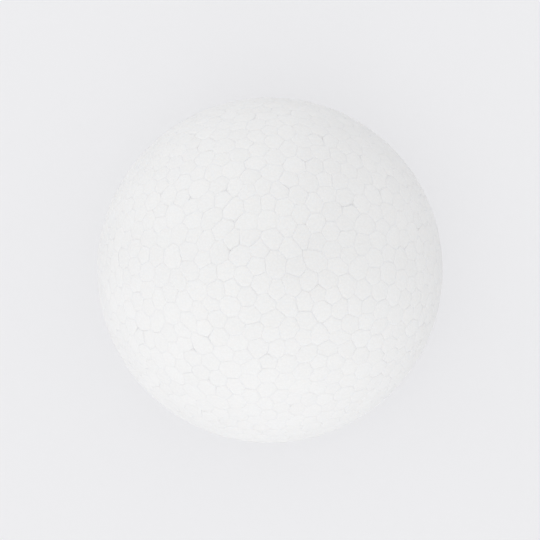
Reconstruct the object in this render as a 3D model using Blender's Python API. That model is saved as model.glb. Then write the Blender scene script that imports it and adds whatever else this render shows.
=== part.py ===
# A white craft ball of expanded polystyrene foam, moulded in one piece.
#
# Steam swells small foam beads inside a round two-part mould until they press flat against its wall
# and against each other. So the skin is a mosaic of many-sided bead faces with fine creases between
# them, and a low raised line runs round the ball where the two halves of the mould met.
#
# The origin is the centre of the ball. +Z is the way the mould opens, so the line lies in the XY plane.
# All lengths are in metres.

import math

import bmesh
import bpy
import numpy as np

# Driving dimensions
BALL_DIAMETER = 0.045  # over the crowns of the bead faces
BEAD_SIZE = 0.0024  # across one bead face, flat to flat
CREASE_DEPTH = 0.0001  # from a bead's crown down to the corners between beads
LINE_WIDTH = 0.0005  # parting line, foot to foot
LINE_HEIGHT = 0.0001  # parting line, crest above the crowns

# How the beads came to lie in the mould
BEAD_SEED = 12  # another number gives another ball of the same kind
BEAD_SCATTER = 0.45  # first shake away from an even layout, in bead sizes
BEAD_VARIETY = 0.14  # spread of bead sizes round the mean, as a share
SPREAD_STEPS = 10  # rounds of beads pushing their neighbours away
SPREAD_GAIN = 0.35  # share of each overlap that one round takes out
SPREAD_REACH = 1.05  # beads push while they are nearer than this, in mean bead sizes
OUTLINE_EASE = 0.35  # how far each corner moves to the middle of the corners next to it
NEIGHBOURS = 18  # nearest beads looked at round each bead

# How near points may lie
CORNER_MERGE = 0.06  # corners nearer than this become one, in bead sizes
CUT_MERGE = 0.1  # points nearer than this to a cut join it, in line widths
ROUND_OFF = 1e-9  # slack when a bead is tested against a circle, in ball radii

# Finish
FOAM_COLOUR = (0.84, 0.84, 0.84, 1.0)  # linear light
FOAM_ROUGHNESS = 0.72

BALL_RADIUS = BALL_DIAMETER / 2
GOLDEN_TURN = math.pi * (3 - math.sqrt(5))


def unit(vectors):
    """Each vector at a length of one."""
    return vectors / np.linalg.norm(vectors, axis=-1, keepdims=True)


def nearest_beads(centres):
    """The numbers of the nearest beads round each bead, the nearest first."""
    closeness = centres @ centres.T
    return np.argsort(-closeness, axis=1)[:, 1 : NEIGHBOURS + 1]


def bead_centres():
    """The direction of each bead from the centre of the ball.

    The beads start on an even spiral from pole to pole. They are shaken, and then each pushes away
    the neighbours that lie nearer than the two beads' mean size, which leaves an uneven but
    well-filled skin.
    """
    bead_face_area = math.sqrt(3) / 2 * BEAD_SIZE**2
    count = round(math.pi * BALL_DIAMETER**2 / bead_face_area)
    step = np.arange(count)
    height = 1 - (2 * step + 1) / count
    ring = np.sqrt(1 - height**2)
    turn = step * GOLDEN_TURN
    centres = np.column_stack((ring * np.cos(turn), ring * np.sin(turn), height))

    chance = np.random.default_rng(BEAD_SEED)
    bead_angle = BEAD_SIZE / BALL_RADIUS
    centres = unit(centres + chance.uniform(-1, 1, centres.shape) * BEAD_SCATTER * bead_angle)
    size = bead_angle * (1 + BEAD_VARIETY * chance.uniform(-1, 1, count))
    for _ in range(SPREAD_STEPS):
        near = nearest_beads(centres)
        apart = centres[:, None] - centres[near]
        distance = np.linalg.norm(apart, axis=2)
        wanted = (size[:, None] + size[near]) / 2 * SPREAD_REACH
        push = np.clip(wanted - distance, 0, None) / distance
        centres = unit(centres + SPREAD_GAIN * np.sum(apart * push[..., None], axis=1))
    return centres


def corner_triples(centres):
    """The three beads that meet at each corner of the mosaic.

    Three beads share a corner if no other bead lies inside the circle through their centres.
    """
    near = nearest_beads(centres)
    second, third = np.triu_indices(NEIGHBOURS, 1)
    a = centres[:, None]
    b = centres[near[:, second]]
    c = centres[near[:, third]]
    axis = unit(np.cross(b - a, c - a))
    axis *= np.sign(np.sum(axis * a, axis=2, keepdims=True))
    circle = np.sum(axis * a, axis=2)
    highest = np.einsum("nik,njk->nij", axis, centres[near]).max(axis=2)
    bead, pair = np.nonzero(highest < circle + ROUND_OFF)
    triples = np.column_stack((bead, near[bead, second[pair]], near[bead, third[pair]]))
    return np.unique(np.sort(triples, axis=1), axis=0)


def bead_outlines(centres, triples):
    """Corner directions, and each bead's corner numbers in order, anticlockwise from outside."""
    a, b, c = (centres[triples[:, i]] for i in range(3))
    corners = unit(np.cross(b - a, c - a))
    corners *= np.sign(np.sum(corners * a, axis=1, keepdims=True))

    bead = triples.ravel()
    corner = np.repeat(np.arange(len(triples)), 3)
    side = unit(np.cross(np.roll(centres, 1, axis=1), centres))
    up = np.cross(centres, side)
    x = np.sum(corners[corner] * side[bead], axis=1)
    y = np.sum(corners[corner] * up[bead], axis=1)
    order = np.lexsort((np.arctan2(y, x), bead))
    outlines = np.split(corner[order], np.cumsum(np.bincount(bead))[:-1])

    first = np.concatenate(outlines)
    following = np.concatenate([np.roll(outline, -1) for outline in outlines])
    around = np.zeros_like(corners)
    np.add.at(around, first, corners[following])
    corners = unit(corners + OUTLINE_EASE * (around / 3 - corners))
    return corners, outlines


def bead_mosaic():
    """The ball's skin: a low pyramid on each bead's outline, with its crown on the full radius."""
    centres = bead_centres()
    corners, outlines = bead_outlines(centres, corner_triples(centres))
    skin = bmesh.new()
    verts = [skin.verts.new(corner) for corner in corners * (BALL_RADIUS - CREASE_DEPTH)]
    for outline in outlines:
        skin.faces.new([verts[i] for i in outline])
    bmesh.ops.remove_doubles(skin, verts=skin.verts[:], dist=BEAD_SIZE * CORNER_MERGE)
    crowns = bmesh.ops.poke(skin, faces=skin.faces[:])["verts"]
    for crown in crowns:
        crown.co = crown.co.normalized() * BALL_RADIUS
    return skin


def add_parting_line(skin):
    """Cut the skin along both feet and the crest of the line, and raise it to a ridge between them."""
    half = LINE_WIDTH / 2
    for height in (-half, 0.0, half):
        everything = skin.verts[:] + skin.edges[:] + skin.faces[:]
        bmesh.ops.bisect_plane(
            skin,
            geom=everything,
            dist=LINE_WIDTH * CUT_MERGE,
            plane_co=(0, 0, height),
            plane_no=(0, 0, 1),
        )
    bmesh.ops.triangulate(skin, faces=skin.faces[:])
    for vert in skin.verts:
        rise = 1 - abs(vert.co.z) / half
        if rise > 0:
            now = vert.co.length
            vert.co *= 1 + rise * (BALL_RADIUS + LINE_HEIGHT - now) / now


def foam_material():
    """White expanded polystyrene, as it leaves the mould."""
    material = bpy.data.materials.new("expanded_polystyrene")
    material.use_nodes = True
    shader = material.node_tree.nodes["Principled BSDF"]
    shader.inputs["Base Color"].default_value = FOAM_COLOUR
    shader.inputs["Roughness"].default_value = FOAM_ROUGHNESS
    shader.inputs["Metallic"].default_value = 0.0
    return material


def foam_ball():
    """The whole ball as one closed body."""
    skin = bead_mosaic()
    add_parting_line(skin)
    bmesh.ops.recalc_face_normals(skin, faces=skin.faces[:])
    mesh = bpy.data.meshes.new("foam_ball")
    skin.to_mesh(mesh)
    skin.free()
    mesh.shade_smooth()
    mesh.materials.append(foam_material())
    ball = bpy.data.objects.new("foam_ball", mesh)
    bpy.context.scene.collection.objects.link(ball)
    return ball


for old in list(bpy.data.objects):
    bpy.data.objects.remove(old, do_unlink=True)

foam_ball()
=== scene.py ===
import math

import bmesh
import bpy
import numpy as np
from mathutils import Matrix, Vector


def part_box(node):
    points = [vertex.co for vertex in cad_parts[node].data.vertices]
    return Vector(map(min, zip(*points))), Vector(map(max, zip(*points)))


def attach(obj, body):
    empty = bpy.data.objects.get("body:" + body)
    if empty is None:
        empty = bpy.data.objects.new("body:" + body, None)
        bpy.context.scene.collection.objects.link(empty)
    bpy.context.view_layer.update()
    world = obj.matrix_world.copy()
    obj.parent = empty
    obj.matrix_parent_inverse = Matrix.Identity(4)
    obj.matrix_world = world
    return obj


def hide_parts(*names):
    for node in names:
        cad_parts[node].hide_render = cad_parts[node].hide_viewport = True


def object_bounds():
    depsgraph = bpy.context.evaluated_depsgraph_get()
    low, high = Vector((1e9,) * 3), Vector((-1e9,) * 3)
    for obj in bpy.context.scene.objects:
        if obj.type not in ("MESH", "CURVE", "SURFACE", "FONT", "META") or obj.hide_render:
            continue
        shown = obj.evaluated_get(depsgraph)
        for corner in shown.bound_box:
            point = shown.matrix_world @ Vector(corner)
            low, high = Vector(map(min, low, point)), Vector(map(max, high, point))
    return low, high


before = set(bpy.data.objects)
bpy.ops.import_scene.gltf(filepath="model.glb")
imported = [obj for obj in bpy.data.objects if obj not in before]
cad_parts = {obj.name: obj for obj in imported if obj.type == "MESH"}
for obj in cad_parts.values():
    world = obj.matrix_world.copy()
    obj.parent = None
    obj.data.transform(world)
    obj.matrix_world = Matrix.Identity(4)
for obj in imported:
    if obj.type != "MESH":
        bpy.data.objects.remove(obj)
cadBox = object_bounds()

mm = 0.001  # the scene is in metres

# A white craft ball of expanded polystyrene, steam moulded in one piece, seen straight from above.
# +Z is the way the mould opened, so its parting line lies in the XY plane, on the ball's outline.


def linearColour(hexCode):
    # sRGB hex to linear light: under 0.04045 a straight line, above it the 2.4 power curve
    code = hexCode.lstrip("#")
    shade = np.array([int(code[i:i + 2], 16) for i in (0, 2, 4)]) / 255
    linear = np.where(shade <= 0.04045, shade / 12.92, ((shade + 0.055) / 1.055) ** 2.4)
    return (*linear.tolist(), 1.0)


def addNode(tree, kind, settings=None, inputs=None):
    # one shader node: its own settings, then each input as a fixed value or a link
    node = tree.nodes.new(kind)
    for name, value in (settings or {}).items():
        setattr(node, name, value)
    for name, value in (inputs or {}).items():
        if isinstance(value, bpy.types.NodeSocket):
            tree.links.new(value, node.inputs[name])
        else:
            node.inputs[name].default_value = value
    return node


def unit(vectors):
    # each vector divided by its own length
    return vectors / np.linalg.norm(vectors, axis=-1, keepdims=True)


# The skin of the ball. The first block repeats the part's own sizes, so each bead lies where the
# solid has it. The second is the relief that the mould and the steam leave on the beads, and the
# third is the parting line, as wide and high as the part's.
ball = {
    "beadSize": 2.4 * mm,       # across one bead face, flat to flat
    "beadSeed": 12,
    "scatter": 0.45,            # first shake off an even layout, in bead sizes
    "variety": 0.14,            # spread of bead sizes
    "spreadSteps": 10,          # rounds in which beads push their neighbours away
    "spreadGain": 0.35,         # share of each overlap that one round takes out
    "spreadReach": 1.05,        # beads push while nearer than this, in mean bead sizes
    "outlineEase": 0.35,        # how far a corner moves to the middle of the three next to it
    "neighbours": 18,           # nearest beads looked at round each bead
    "roundOff": 1e-9,           # slack when a bead is tested against a circle, in ball radii
    "sizePlaces": 4,            # the radius is read to this many places of a metre

    "reliefSeed": 5,
    "creaseDepth": 0.046 * mm,  # crease bottom under the bead faces, at a middling crease
    "creaseRange": (0.3, 1.9),  # shallowest and deepest crease, in crease depths
    "creaseSkew": 1.5,          # over 1, more of the creases are shallow ones
    "creaseWidth": 0.18 * mm,   # from a crease to where its shoulder ends
    "creaseWander": 0.035,      # sideways bend of a crease, in bead sizes
    "cornerRange": (0.9, 1.4),  # shallowest and deepest corner, in crease depths
    "cornerSpread": 1.15,       # width of the shoulders at a corner, in crease widths
    "pitShare": 0.07,           # share of the corners that stayed open as small pits
    "pitDepth": 0.20 * mm,
    "pitRange": (0.25, 1.0),    # least and greatest pit, as shares of the full one
    "pitSpread": 0.6,           # how much wider the shoulders are round a full pit
    "faceLevel": 0.02 * mm,     # how far a bead face may lie under the full radius
    "faceTilt": 0.008,          # slope of a bead face, rise over run
    "faceTiltMost": 0.03 * mm,  # most that the slope may lift or sink a point
    "faceCrown": 0.012 * mm,    # drop from the middle of a face to its edge
    "rows": (0.16, 0.36, 0.62, 1.0),            # rows of points in from a crease, in crease widths
    "faceRow": 0.62 * mm,                       # the last row before a bead's centre
    "reach": (0.12, 0.24, 0.36, 0.50, 0.68),    # most of the way to the centre that each row may go

    "lineWidth": 0.5 * mm,      # foot to foot
    "lineHeight": 0.1 * mm,     # crest over the bead faces
    "lineCuts": (-1.0, -0.45, 0.0, 0.45, 1.0),  # where the skin is cut along it, in half widths
    "lineLevel": 0.8,           # mean height of the crest as moulded, as a share
    "lineWaves": ((23, 0.12, 1.0), (61, 0.08, 0.0)),    # its unevenness: waves round, share, phase
    "cutMerge": 0.02 * mm,      # points nearer than this to a cut join it
}


def nearestBeads(centres):
    # numbers of the nearest beads round each bead, by the largest cosine between directions
    return np.argsort(-(centres @ centres.T), axis=1)[:, 1:ball["neighbours"] + 1]


def beadCentres(radius):
    # an even spiral: heights in equal steps from pole to pole, each a golden angle further round.
    # It is shaken, then beads nearer than their mean size push each other away
    size = ball["beadSize"]
    faceArea = math.sqrt(3) / 2 * size ** 2  # of a hexagon, by its width across the flats
    count = round(4 * math.pi * radius ** 2 / faceArea)
    goldenAngle = math.pi * (3 - math.sqrt(5))
    step = np.arange(count)
    height = 1 - (2 * step + 1) / count
    ring = np.sqrt(1 - height ** 2)
    turn = step * goldenAngle
    centres = np.column_stack((ring * np.cos(turn), ring * np.sin(turn), height))

    chance = np.random.default_rng(ball["beadSeed"])
    beadAngle = size / radius
    shake = chance.uniform(-1, 1, centres.shape) * ball["scatter"] * beadAngle
    centres = unit(centres + shake)
    width = beadAngle * (1 + ball["variety"] * chance.uniform(-1, 1, count))
    for _ in range(ball["spreadSteps"]):
        near = nearestBeads(centres)
        apart = centres[:, None] - centres[near]
        distance = np.linalg.norm(apart, axis=2)
        wanted = (width[:, None] + width[near]) / 2 * ball["spreadReach"]
        push = np.clip(wanted - distance, 0, None) / distance
        centres = unit(centres + ball["spreadGain"] * np.sum(apart * push[..., None], axis=1))
    return centres


def cornerTriples(centres):
    # three beads share a corner if no other bead lies inside the circle through their centres:
    # along the circle's axis no neighbour reaches further than the three do
    near = nearestBeads(centres)
    second, third = np.triu_indices(ball["neighbours"], 1)
    a = centres[:, None]
    b = centres[near[:, second]]
    c = centres[near[:, third]]
    axis = unit(np.cross(b - a, c - a))
    axis *= np.sign(np.sum(axis * a, axis=2, keepdims=True))
    circle = np.sum(axis * a, axis=2)
    highest = np.einsum("nik,njk->nij", axis, centres[near]).max(axis=2)
    bead, pair = np.nonzero(highest < circle + ball["roundOff"])
    triples = np.column_stack((bead, near[bead, second[pair]], near[bead, third[pair]]))
    return np.unique(np.sort(triples, axis=1), axis=0)


def beadSectors(centres):
    # each bead face is a ring of sectors, one for each crease: from corner a to corner b,
    # anticlockwise seen from outside. Corners are sorted by their angle round the bead
    triples = cornerTriples(centres)
    a, b, c = (centres[triples[:, i]] for i in range(3))
    corners = unit(np.cross(b - a, c - a))
    corners *= np.sign(np.sum(corners * a, axis=1, keepdims=True))

    bead = triples.ravel()
    corner = np.repeat(np.arange(len(triples)), 3)
    side = unit(np.cross(np.roll(centres, 1, axis=1), centres))
    up = np.cross(centres, side)
    x = np.sum(corners[corner] * side[bead], axis=1)
    y = np.sum(corners[corner] * up[bead], axis=1)
    order = np.lexsort((np.arctan2(y, x), bead))
    bead, cornerA = bead[order], corner[order]
    count = np.bincount(bead)
    start = np.cumsum(count) - count
    place = np.arange(len(bead)) - start[bead]
    following = start[bead] + (place + 1) % count[bead]
    cornerB = cornerA[following]

    # each corner has three others at the far ends of its creases, and eases to their middle
    around = np.zeros_like(corners)
    np.add.at(around, cornerA, corners[cornerB])
    corners = unit(corners + ball["outlineEase"] * (around / 3 - corners))
    return corners, bead, cornerA, cornerB, following


def creaseRelief(corners, cornerA, cornerB, radius, chance):
    # one crease for each pair of sectors that meet along it.
    # middle = halfway between its corners, moved sideways by up to the wander
    # level = shallowest + (deepest - shallowest) * chance to the power of the skew
    low, high = np.minimum(cornerA, cornerB), np.maximum(cornerA, cornerB)
    ends = low * len(corners) + high
    _, first, crease = np.unique(ends, return_index=True, return_inverse=True)
    endA, endB = corners[cornerA[first]], corners[cornerB[first]]
    across = unit(np.cross(endA + endB, endB - endA))
    wander = ball["creaseWander"] * ball["beadSize"] / radius
    middles = unit((endA + endB) / 2 + across * chance.uniform(-wander, wander, (len(first), 1)))
    shallow, deep = ball["creaseRange"]
    level = shallow + (deep - shallow) * chance.uniform(0, 1, len(first)) ** ball["creaseSkew"]
    return crease, middles, level


def cornerRelief(count, chance):
    # corners are a little deeper than the creases, and some of them are open pits.
    # depth = crease depth * chance + pit depth * pit, and spread = corner's spread + pit's spread * pit
    isPit = chance.uniform(0, 1, count) < ball["pitShare"]
    pit = isPit * chance.uniform(*ball["pitRange"], count) ** ball["creaseSkew"]
    depth = ball["creaseDepth"] * chance.uniform(*ball["cornerRange"], count) + ball["pitDepth"] * pit
    spread = ball["cornerSpread"] + ball["pitSpread"] * pit
    return depth, spread


def faceHeight(direction, centre, level, tilt, radius):
    # height = level + tilt's slope times the way across - crown * (way from the centre / half a
    # bead) squared, all over the full radius
    offset = (direction - centre) * radius
    most = ball["faceTiltMost"]
    slope = np.clip(np.sum(offset * tilt, axis=-1), -most, most)
    crown = ball["faceCrown"] * np.sum(offset ** 2, axis=-1) / (ball["beadSize"] / 2) ** 2
    return level + slope - crown


def sectorFaces(bead, cornerA, crease, cornerB, following, rowCount):
    # numbers of each sector's points: [sector, row, column]. The points are in the order corners,
    # crease middles, rows from the corners, rows from the middles, bead centres. Each cell of the
    # grid is a quad, and a fan of triangles closes it at the bead's centre
    sectors = len(bead)
    cornerCount = cornerA.max() + 1
    spokeStart = cornerCount + crease.max() + 1
    ribStart = spokeStart + sectors * rowCount
    centreStart = ribStart + sectors * rowCount
    inRow = np.arange(rowCount)[None]
    every = np.arange(sectors)[:, None]
    outer = np.stack((cornerA, cornerCount + crease, cornerB), axis=1)[:, None]
    inner = np.stack((
        spokeStart + every * rowCount + inRow,
        ribStart + every * rowCount + inRow,
        spokeStart + following[:, None] * rowCount + inRow,
    ), axis=2)
    grid = np.concatenate((outer, inner), axis=1)
    quads = np.stack((grid[:, :-1, :-1], grid[:, :-1, 1:], grid[:, 1:, 1:], grid[:, 1:, :-1]), axis=-1)
    hub = np.broadcast_to(centreStart + bead[:, None], (sectors, 2))
    fans = np.stack((grid[:, -1, :-1], grid[:, -1, 1:], hub), axis=-1)
    return quads.reshape(sectors, -1, 4), fans


def skinMesh(radius):
    # every sector is a grid of two parameters: u, the distance in from the crease to the bead's
    # centre, in rows, and v, the way along the crease, in three columns (corner, middle, corner).
    # direction = the crease point moved towards the bead's centre by u, back on the sphere
    # height = tilted and crowned bead face - crease depth * (1 - u / crease width) squared
    centres = beadCentres(radius)
    corners, bead, cornerA, cornerB, following = beadSectors(centres)
    chance = np.random.default_rng(ball["reliefSeed"])
    crease, middles, middleLevel = creaseRelief(corners, cornerA, cornerB, radius, chance)
    middleDepth = ball["creaseDepth"] * middleLevel
    cornerDepth, cornerSpread = cornerRelief(len(corners), chance)
    level = -ball["faceLevel"] * chance.uniform(0, 1, len(centres))
    tilt = ball["faceTilt"] * chance.normal(0, 1, centres.shape)
    tone = chance.uniform(0, 1, len(centres))
    print("beads laid:", len(centres), "beads,", len(middles), "creases,", len(corners), "corners")

    # rows: distance from the crease, and how much of its depth is left there
    width = ball["creaseWidth"]
    rows = np.append(np.array(ball["rows"]) * width, ball["faceRow"])
    reach = np.array(ball["reach"])
    wall = np.clip(1 - rows / width, 0, 1) ** 2
    centre, faceLevel, faceTilt = centres[bead][:, None], level[bead][:, None], tilt[bead][:, None]

    def rowsTowardsCentre(origin, depth, spread):
        # points from each origin on the outline to the bead's centre, one for each row
        run = np.linalg.norm(origin - centres[bead], axis=1) * radius
        share = np.minimum(rows[None] * spread[:, None] / run[:, None], reach[None])[..., None]
        direction = unit((1 - share) * origin[:, None] + share * centre)
        height = faceHeight(direction, centre, faceLevel, faceTilt, radius) - depth[:, None] * wall[None]
        return direction, height

    spokes, spokeHeight = rowsTowardsCentre(corners[cornerA], cornerDepth[cornerA], cornerSpread[cornerA])
    # a deeper crease has wider shoulders, by the square root of its depth
    ribs, ribHeight = rowsTowardsCentre(middles[crease], middleDepth[crease], np.sqrt(middleLevel[crease]))

    outlineLevel = -ball["faceLevel"] / 2  # where the faces meet, on average, over the crease bottoms
    directions = np.concatenate((corners, middles, spokes.reshape(-1, 3), ribs.reshape(-1, 3), centres))
    heights = np.concatenate((
        outlineLevel - cornerDepth,
        outlineLevel - middleDepth,
        spokeHeight.ravel(),
        ribHeight.ravel(),
        level,
    ))
    creaseShare = np.concatenate((
        np.ones(len(corners)),
        np.ones(len(middles)),
        np.tile(wall, len(bead)),
        np.tile(wall, len(bead)),
        np.zeros(len(centres)),
    ))
    points = directions * (radius + np.minimum(heights, 0))[:, None]
    quads, fans = sectorFaces(bead, cornerA, crease, cornerB, following, len(rows))
    faceTone = np.concatenate((
        np.repeat(tone[bead], quads.shape[1]),
        np.repeat(tone[bead], fans.shape[1]),
    ))
    return meshFromFaces(points, quads.reshape(-1, 4), fans.reshape(-1, 3), creaseShare, faceTone)


def meshFromFaces(points, quads, fans, creaseShare, faceTone):
    # the quads come first, then the triangles. Each point keeps how deep in a crease it lies, from
    # 0 on a face to 1 at the bottom, and each face keeps its bead's tone
    mesh = bpy.data.meshes.new("bead_skin")
    mesh.vertices.add(len(points))
    mesh.vertices.foreach_set("co", points.astype(np.float32).ravel())
    loops = np.concatenate((quads.ravel(), fans.ravel()))
    mesh.loops.add(len(loops))
    mesh.loops.foreach_set("vertex_index", loops.astype(np.int32))
    starts = np.concatenate((np.arange(len(quads)) * 4, quads.size + np.arange(len(fans)) * 3))
    mesh.polygons.add(len(starts))
    mesh.polygons.foreach_set("loop_start", starts.astype(np.int32))
    mesh.update(calc_edges=True)
    # the material paints shade into the creases by this share
    onPoints = mesh.attributes.new("crease", "FLOAT", "POINT")
    onPoints.data.foreach_set("value", creaseShare.astype(np.float32))
    onFaces = mesh.attributes.new("tone", "FLOAT", "FACE")
    onFaces.data.foreach_set("value", faceTone.astype(np.float32))
    return mesh


def raisePartingLine(mesh, radius):
    # the skin is cut along the line's feet, shoulders and crest. Between the feet its height goes
    # up to the crest as (1 - (z / half width) squared) squared, and creases fill as it rises
    half = ball["lineWidth"] / 2
    skin = bmesh.new()
    skin.from_mesh(mesh)
    for cut in ball["lineCuts"]:
        bmesh.ops.bisect_plane(
            skin,
            geom=skin.verts[:] + skin.edges[:] + skin.faces[:],
            dist=ball["cutMerge"],
            plane_co=(0, 0, cut * half),
            plane_no=(0, 0, 1),
        )
    skin.to_mesh(mesh)
    skin.free()

    points = np.empty(len(mesh.vertices) * 3, np.float32)
    mesh.vertices.foreach_get("co", points)
    points = points.reshape(-1, 3).astype(float)
    around = np.arctan2(points[:, 1], points[:, 0])
    uneven = ball["lineLevel"] + sum(
        share * np.sin(waves * around + phase) for waves, share, phase in ball["lineWaves"])
    now = np.linalg.norm(points, axis=1)
    rise = np.clip(1 - (points[:, 2] / half) ** 2, 0, 1) ** 2
    crest = radius + ball["lineHeight"] * uneven
    points *= (1 + rise * (crest - now) / now)[:, None]
    mesh.vertices.foreach_set("co", points.astype(np.float32).ravel())
    mesh.update()
    print("parting line raised")


def makeBall():
    # the radius is half the solid's height, to the nearest tenth of a millimetre, because no bead's
    # crown lies right on a pole
    low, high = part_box("foam_ball")
    radius = round((high.z - low.z) / 2, ball["sizePlaces"])
    mesh = skinMesh(radius)
    raisePartingLine(mesh, radius)
    mesh.shade_smooth()
    skin = bpy.data.objects.new("bead_skin", mesh)
    bpy.context.scene.collection.objects.link(skin)
    skin.data.materials.append(expandedPolystyrene())
    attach(skin, "root")
    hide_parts("foam_ball")
    triangles = len(mesh.loops) - 2 * len(mesh.polygons)  # a face has two fewer than its corners
    print("bead skin made:", triangles, "triangles, radius", round(radius / mm, 3), "mm")


foam = {
    "colour": "#EDEDED",
    "creaseShadeColour": "#EAEAEB",    # painted shade in the creases
    "toneDrop": 0.015,          # darkest bead under the lightest, as a share
    "roughness": (0.58, 0.76),
    "ior": 1.59,                # polystyrene
    "gloss": 0.25,              # under the usual 0.5, because only the thin cell walls reflect
    "scatter": 0.3,             # share of light that goes through the skin and back
    "scatterRadius": 0.5 * mm,
    "scatterReach": (1.0, 0.95, 0.9),   # of red, green and blue, in scatter radii
    "cellSize": 0.30 * mm,      # the cells under a bead's skin are 0.1 mm, drawn coarser to show
    "cellReach": 0.8,           # from a cell's middle to its furthest corner, in cell sizes
    "cellDrop": 0.035,          # darkest cell wall under a cell's middle, as a share
    "cellDepth": 0.022 * mm,
    "rippleSize": 1.1 * mm,
    "rippleDepth": 0.012 * mm,
    "rippleDetail": 2.0,        # finer octaves in the ripple's noise
    "sheenRange": (0.3, 1.7),   # least and most that the ripple's noise and a bead's tone add up to
}


def expandedPolystyrene():
    # steam-moulded polystyrene beads: a thin closed skin over foam. Light goes a little way in, so the
    # white is soft and even, faintly mottled by the cells, with next to no gloss. The creases get painted
    # shade, a slightly darker colour towards their bottoms
    material = bpy.data.materials.new("Expanded polystyrene, steam moulded")
    material.use_nodes = True
    tree = material.node_tree
    tree.nodes.clear()
    place = addNode(tree, "ShaderNodeTexCoord").outputs["Object"]
    crease = addNode(tree, "ShaderNodeAttribute", {"attribute_name": "crease"}).outputs["Fac"]
    tone = addNode(tree, "ShaderNodeAttribute", {"attribute_name": "tone"}).outputs["Fac"]
    cell = addNode(tree, "ShaderNodeTexVoronoi", inputs={
        "Vector": place, "Scale": 1 / foam["cellSize"]}).outputs["Distance"]
    patch = addNode(tree, "ShaderNodeTexNoise", inputs={
        "Vector": place, "Scale": 1 / foam["rippleSize"], "Detail": foam["rippleDetail"]}).outputs["Fac"]

    # a colour mix has its factor at socket 0, its two colours at 6 and 7, and its result at 2
    # painted shade: the colour darkens towards the bottom of each crease, where shade falls
    body = addNode(tree, "ShaderNodeMix", {"data_type": "RGBA"}, {
        0: crease, 6: linearColour(foam["colour"]), 7: linearColour(foam["creaseShadeColour"])}).outputs[2]
    beadShade = addNode(tree, "ShaderNodeMapRange", inputs={
        "Value": tone, "To Min": 1 - foam["toneDrop"], "To Max": 1.0}).outputs["Result"]
    cellShade = addNode(tree, "ShaderNodeMapRange", inputs={
        "Value": cell, "From Max": foam["cellReach"],
        "To Min": 1.0, "To Max": 1 - foam["cellDrop"]}).outputs["Result"]
    shade = addNode(tree, "ShaderNodeMath", {"operation": "MULTIPLY"}, {
        0: beadShade, 1: cellShade}).outputs["Value"]
    shaded = addNode(tree, "ShaderNodeVectorMath", {"operation": "SCALE"}, {
        0: body, "Scale": shade}).outputs["Vector"]

    # beads differ a little in how dull they are, and so do patches of each
    sheen = addNode(tree, "ShaderNodeMath", {"operation": "ADD"}, {0: patch, 1: tone}).outputs["Value"]
    roughness = addNode(tree, "ShaderNodeMapRange", inputs={
        "Value": sheen, "From Min": foam["sheenRange"][0], "From Max": foam["sheenRange"][1],
        "To Min": foam["roughness"][0], "To Max": foam["roughness"][1]}).outputs["Result"]

    ripple = addNode(tree, "ShaderNodeBump", inputs={
        "Height": patch, "Distance": foam["rippleDepth"]}).outputs["Normal"]
    relief = addNode(tree, "ShaderNodeBump", {"invert": True}, {
        "Height": cell, "Distance": foam["cellDepth"], "Normal": ripple}).outputs["Normal"]

    shader = addNode(tree, "ShaderNodeBsdfPrincipled", inputs={
        "Base Color": shaded,
        "Roughness": roughness,
        "IOR": foam["ior"],
        "Specular IOR Level": foam["gloss"],
        "Subsurface Weight": foam["scatter"],
        "Subsurface Radius": foam["scatterReach"],
        "Subsurface Scale": foam["scatterRadius"],
        "Normal": relief,
    })
    addNode(tree, "ShaderNodeOutputMaterial", inputs={"Surface": shader.outputs["BSDF"]})
    return material


def seenRays(tree):
    # 1 where the camera sees a thing, straight on or in a gloss or through glass, and 0 for the
    # light that the thing sends on
    path = addNode(tree, "ShaderNodeLightPath")
    straight = addNode(tree, "ShaderNodeMath", {"operation": "MAXIMUM"}, {
        0: path.outputs["Is Camera Ray"], 1: path.outputs["Is Glossy Ray"]})
    every = addNode(tree, "ShaderNodeMath", {"operation": "MAXIMUM"}, {
        0: straight.outputs["Value"], 1: path.outputs["Is Transmission Ray"]})
    return every.outputs["Value"]


floorValues = {
    "colour": "#E0E0E2",
    "reach": 4.0,               # half the side of the square sheet
    "points": 9,                # along each side
    "evenColour": "#F9F9FB",
    "evenShare": 0.48,          # share of the even colour in what the camera sees of it
}


def coatedCard():
    # matt coated card: an even pale grey with no gloss. The camera and glosses see it mixed with an
    # even colour, which keeps its shadows faint and lights nothing else
    material = bpy.data.materials.new("Matt coated card")
    material.use_nodes = True
    tree = material.node_tree
    tree.nodes.clear()
    shaded = addNode(tree, "ShaderNodeBsdfDiffuse", inputs={
        "Color": linearColour(floorValues["colour"])})
    even = addNode(tree, "ShaderNodeEmission", inputs={
        "Color": linearColour(floorValues["evenColour"]), "Strength": 1.0})
    share = addNode(tree, "ShaderNodeMath", {"operation": "MULTIPLY"}, {
        0: seenRays(tree), 1: floorValues["evenShare"]}).outputs["Value"]
    mixed = addNode(tree, "ShaderNodeMixShader", inputs={
        0: share, 1: shaded.outputs["BSDF"], 2: even.outputs["Emission"]})
    addNode(tree, "ShaderNodeOutputMaterial", inputs={"Surface": mixed.outputs["Shader"]})
    return material


def makeFloor(height):
    # a flat sheet: x and y run over a square, z is constant
    side = np.linspace(-floorValues["reach"], floorValues["reach"], floorValues["points"])
    x, y = np.meshgrid(side, side)
    points = np.column_stack((x.ravel(), y.ravel(), np.full(x.size, height)))
    number = np.arange(x.size).reshape(x.shape)
    quads = np.stack((number[:-1, :-1], number[:-1, 1:], number[1:, 1:], number[1:, :-1]), axis=-1)
    mesh = bpy.data.meshes.new("floor")
    mesh.from_pydata(points.tolist(), [], quads.reshape(-1, 4).tolist())
    mesh.materials.append(coatedCard())
    floor = bpy.data.objects.new("floor", mesh)
    bpy.context.scene.collection.objects.link(floor)
    print("floor made")


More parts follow.
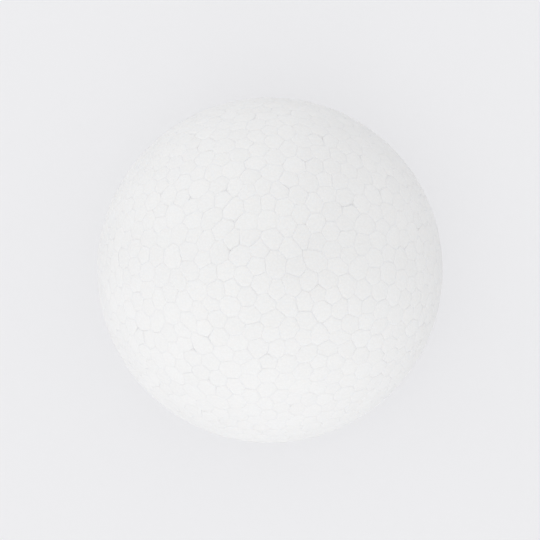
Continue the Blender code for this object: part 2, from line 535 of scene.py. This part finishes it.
# Levels are shares of the light at which a colour renders as it is written. Ways round are from +X
# towards +Y, and heights are from the floor, both in degrees.
light = {
    "skyColour": "#FFFFFF",
    "skyLevel": 0.96,
    "backColour": "#EDEDEF",    # what the camera sees past the floor
    "lamps": {
        # name: (level square on, way round, height, width in degrees)
        "left_soft": (0.11, 152.0, 5.0, 12.0),
        "front_soft": (0.15, 266.0, 5.0, 12.0),
        "top_soft": (0.06, 228.0, 78.0, 30.0),
    },
}


def makeLight():
    # an even sky all round, and wide lamps: two low ones that brighten the left and the front, and
    # one overhead that gives the ball its soft shadow
    world = bpy.data.worlds.new("studio")
    world.use_nodes = True
    tree = world.node_tree
    tree.nodes.clear()
    sky = addNode(tree, "ShaderNodeBackground", inputs={
        "Color": linearColour(light["skyColour"]), "Strength": light["skyLevel"]})
    back = addNode(tree, "ShaderNodeBackground", inputs={
        "Color": linearColour(light["backColour"]), "Strength": 1.0})
    mixed = addNode(tree, "ShaderNodeMixShader", inputs={
        0: seenRays(tree), 1: sky.outputs["Background"], 2: back.outputs["Background"]})
    addNode(tree, "ShaderNodeOutputWorld", inputs={"Surface": mixed.outputs["Shader"]})
    bpy.context.scene.world = world

    for name, (lampLevel, wayRound, height, width) in light["lamps"].items():
        lamp = bpy.data.lights.new(name, "SUN")
        lamp.energy = lampLevel * math.pi
        lamp.angle = math.radians(width)
        lampObject = bpy.data.objects.new(name, lamp)
        # a sun shines down its own -Z: it is laid over by the height's complement, then turned round
        lampObject.rotation_euler = (0.0, math.radians(90 - height), math.radians(wayRound))
        bpy.context.scene.collection.objects.link(lampObject)
    print("light made")


cameraValues = {
    "lens": 200.0,              # mm, long, so that the ball is seen with little perspective
    "sensor": 36.0,             # mm
    "ballShare": 0.64,          # of the picture's width
}


def makeCamera():
    # straight above the ball. Distance = width of the picture at the ball * lens / sensor
    low, high = cadBox
    pictureWidth = (high[0] - low[0]) / cameraValues["ballShare"]
    camera = bpy.data.cameras.new("camera")
    camera.lens = cameraValues["lens"]
    camera.sensor_width = cameraValues["sensor"]
    cameraObject = bpy.data.objects.new("camera", camera)
    cameraObject.location = (0.0, 0.0, pictureWidth * cameraValues["lens"] / cameraValues["sensor"])
    bpy.context.scene.collection.objects.link(cameraObject)
    bpy.context.scene.camera = cameraObject
    print("camera made")


makeBall()
makeFloor(cadBox[0][2])
makeLight()
makeCamera()
bpy.context.scene.view_settings.view_transform = "Standard"
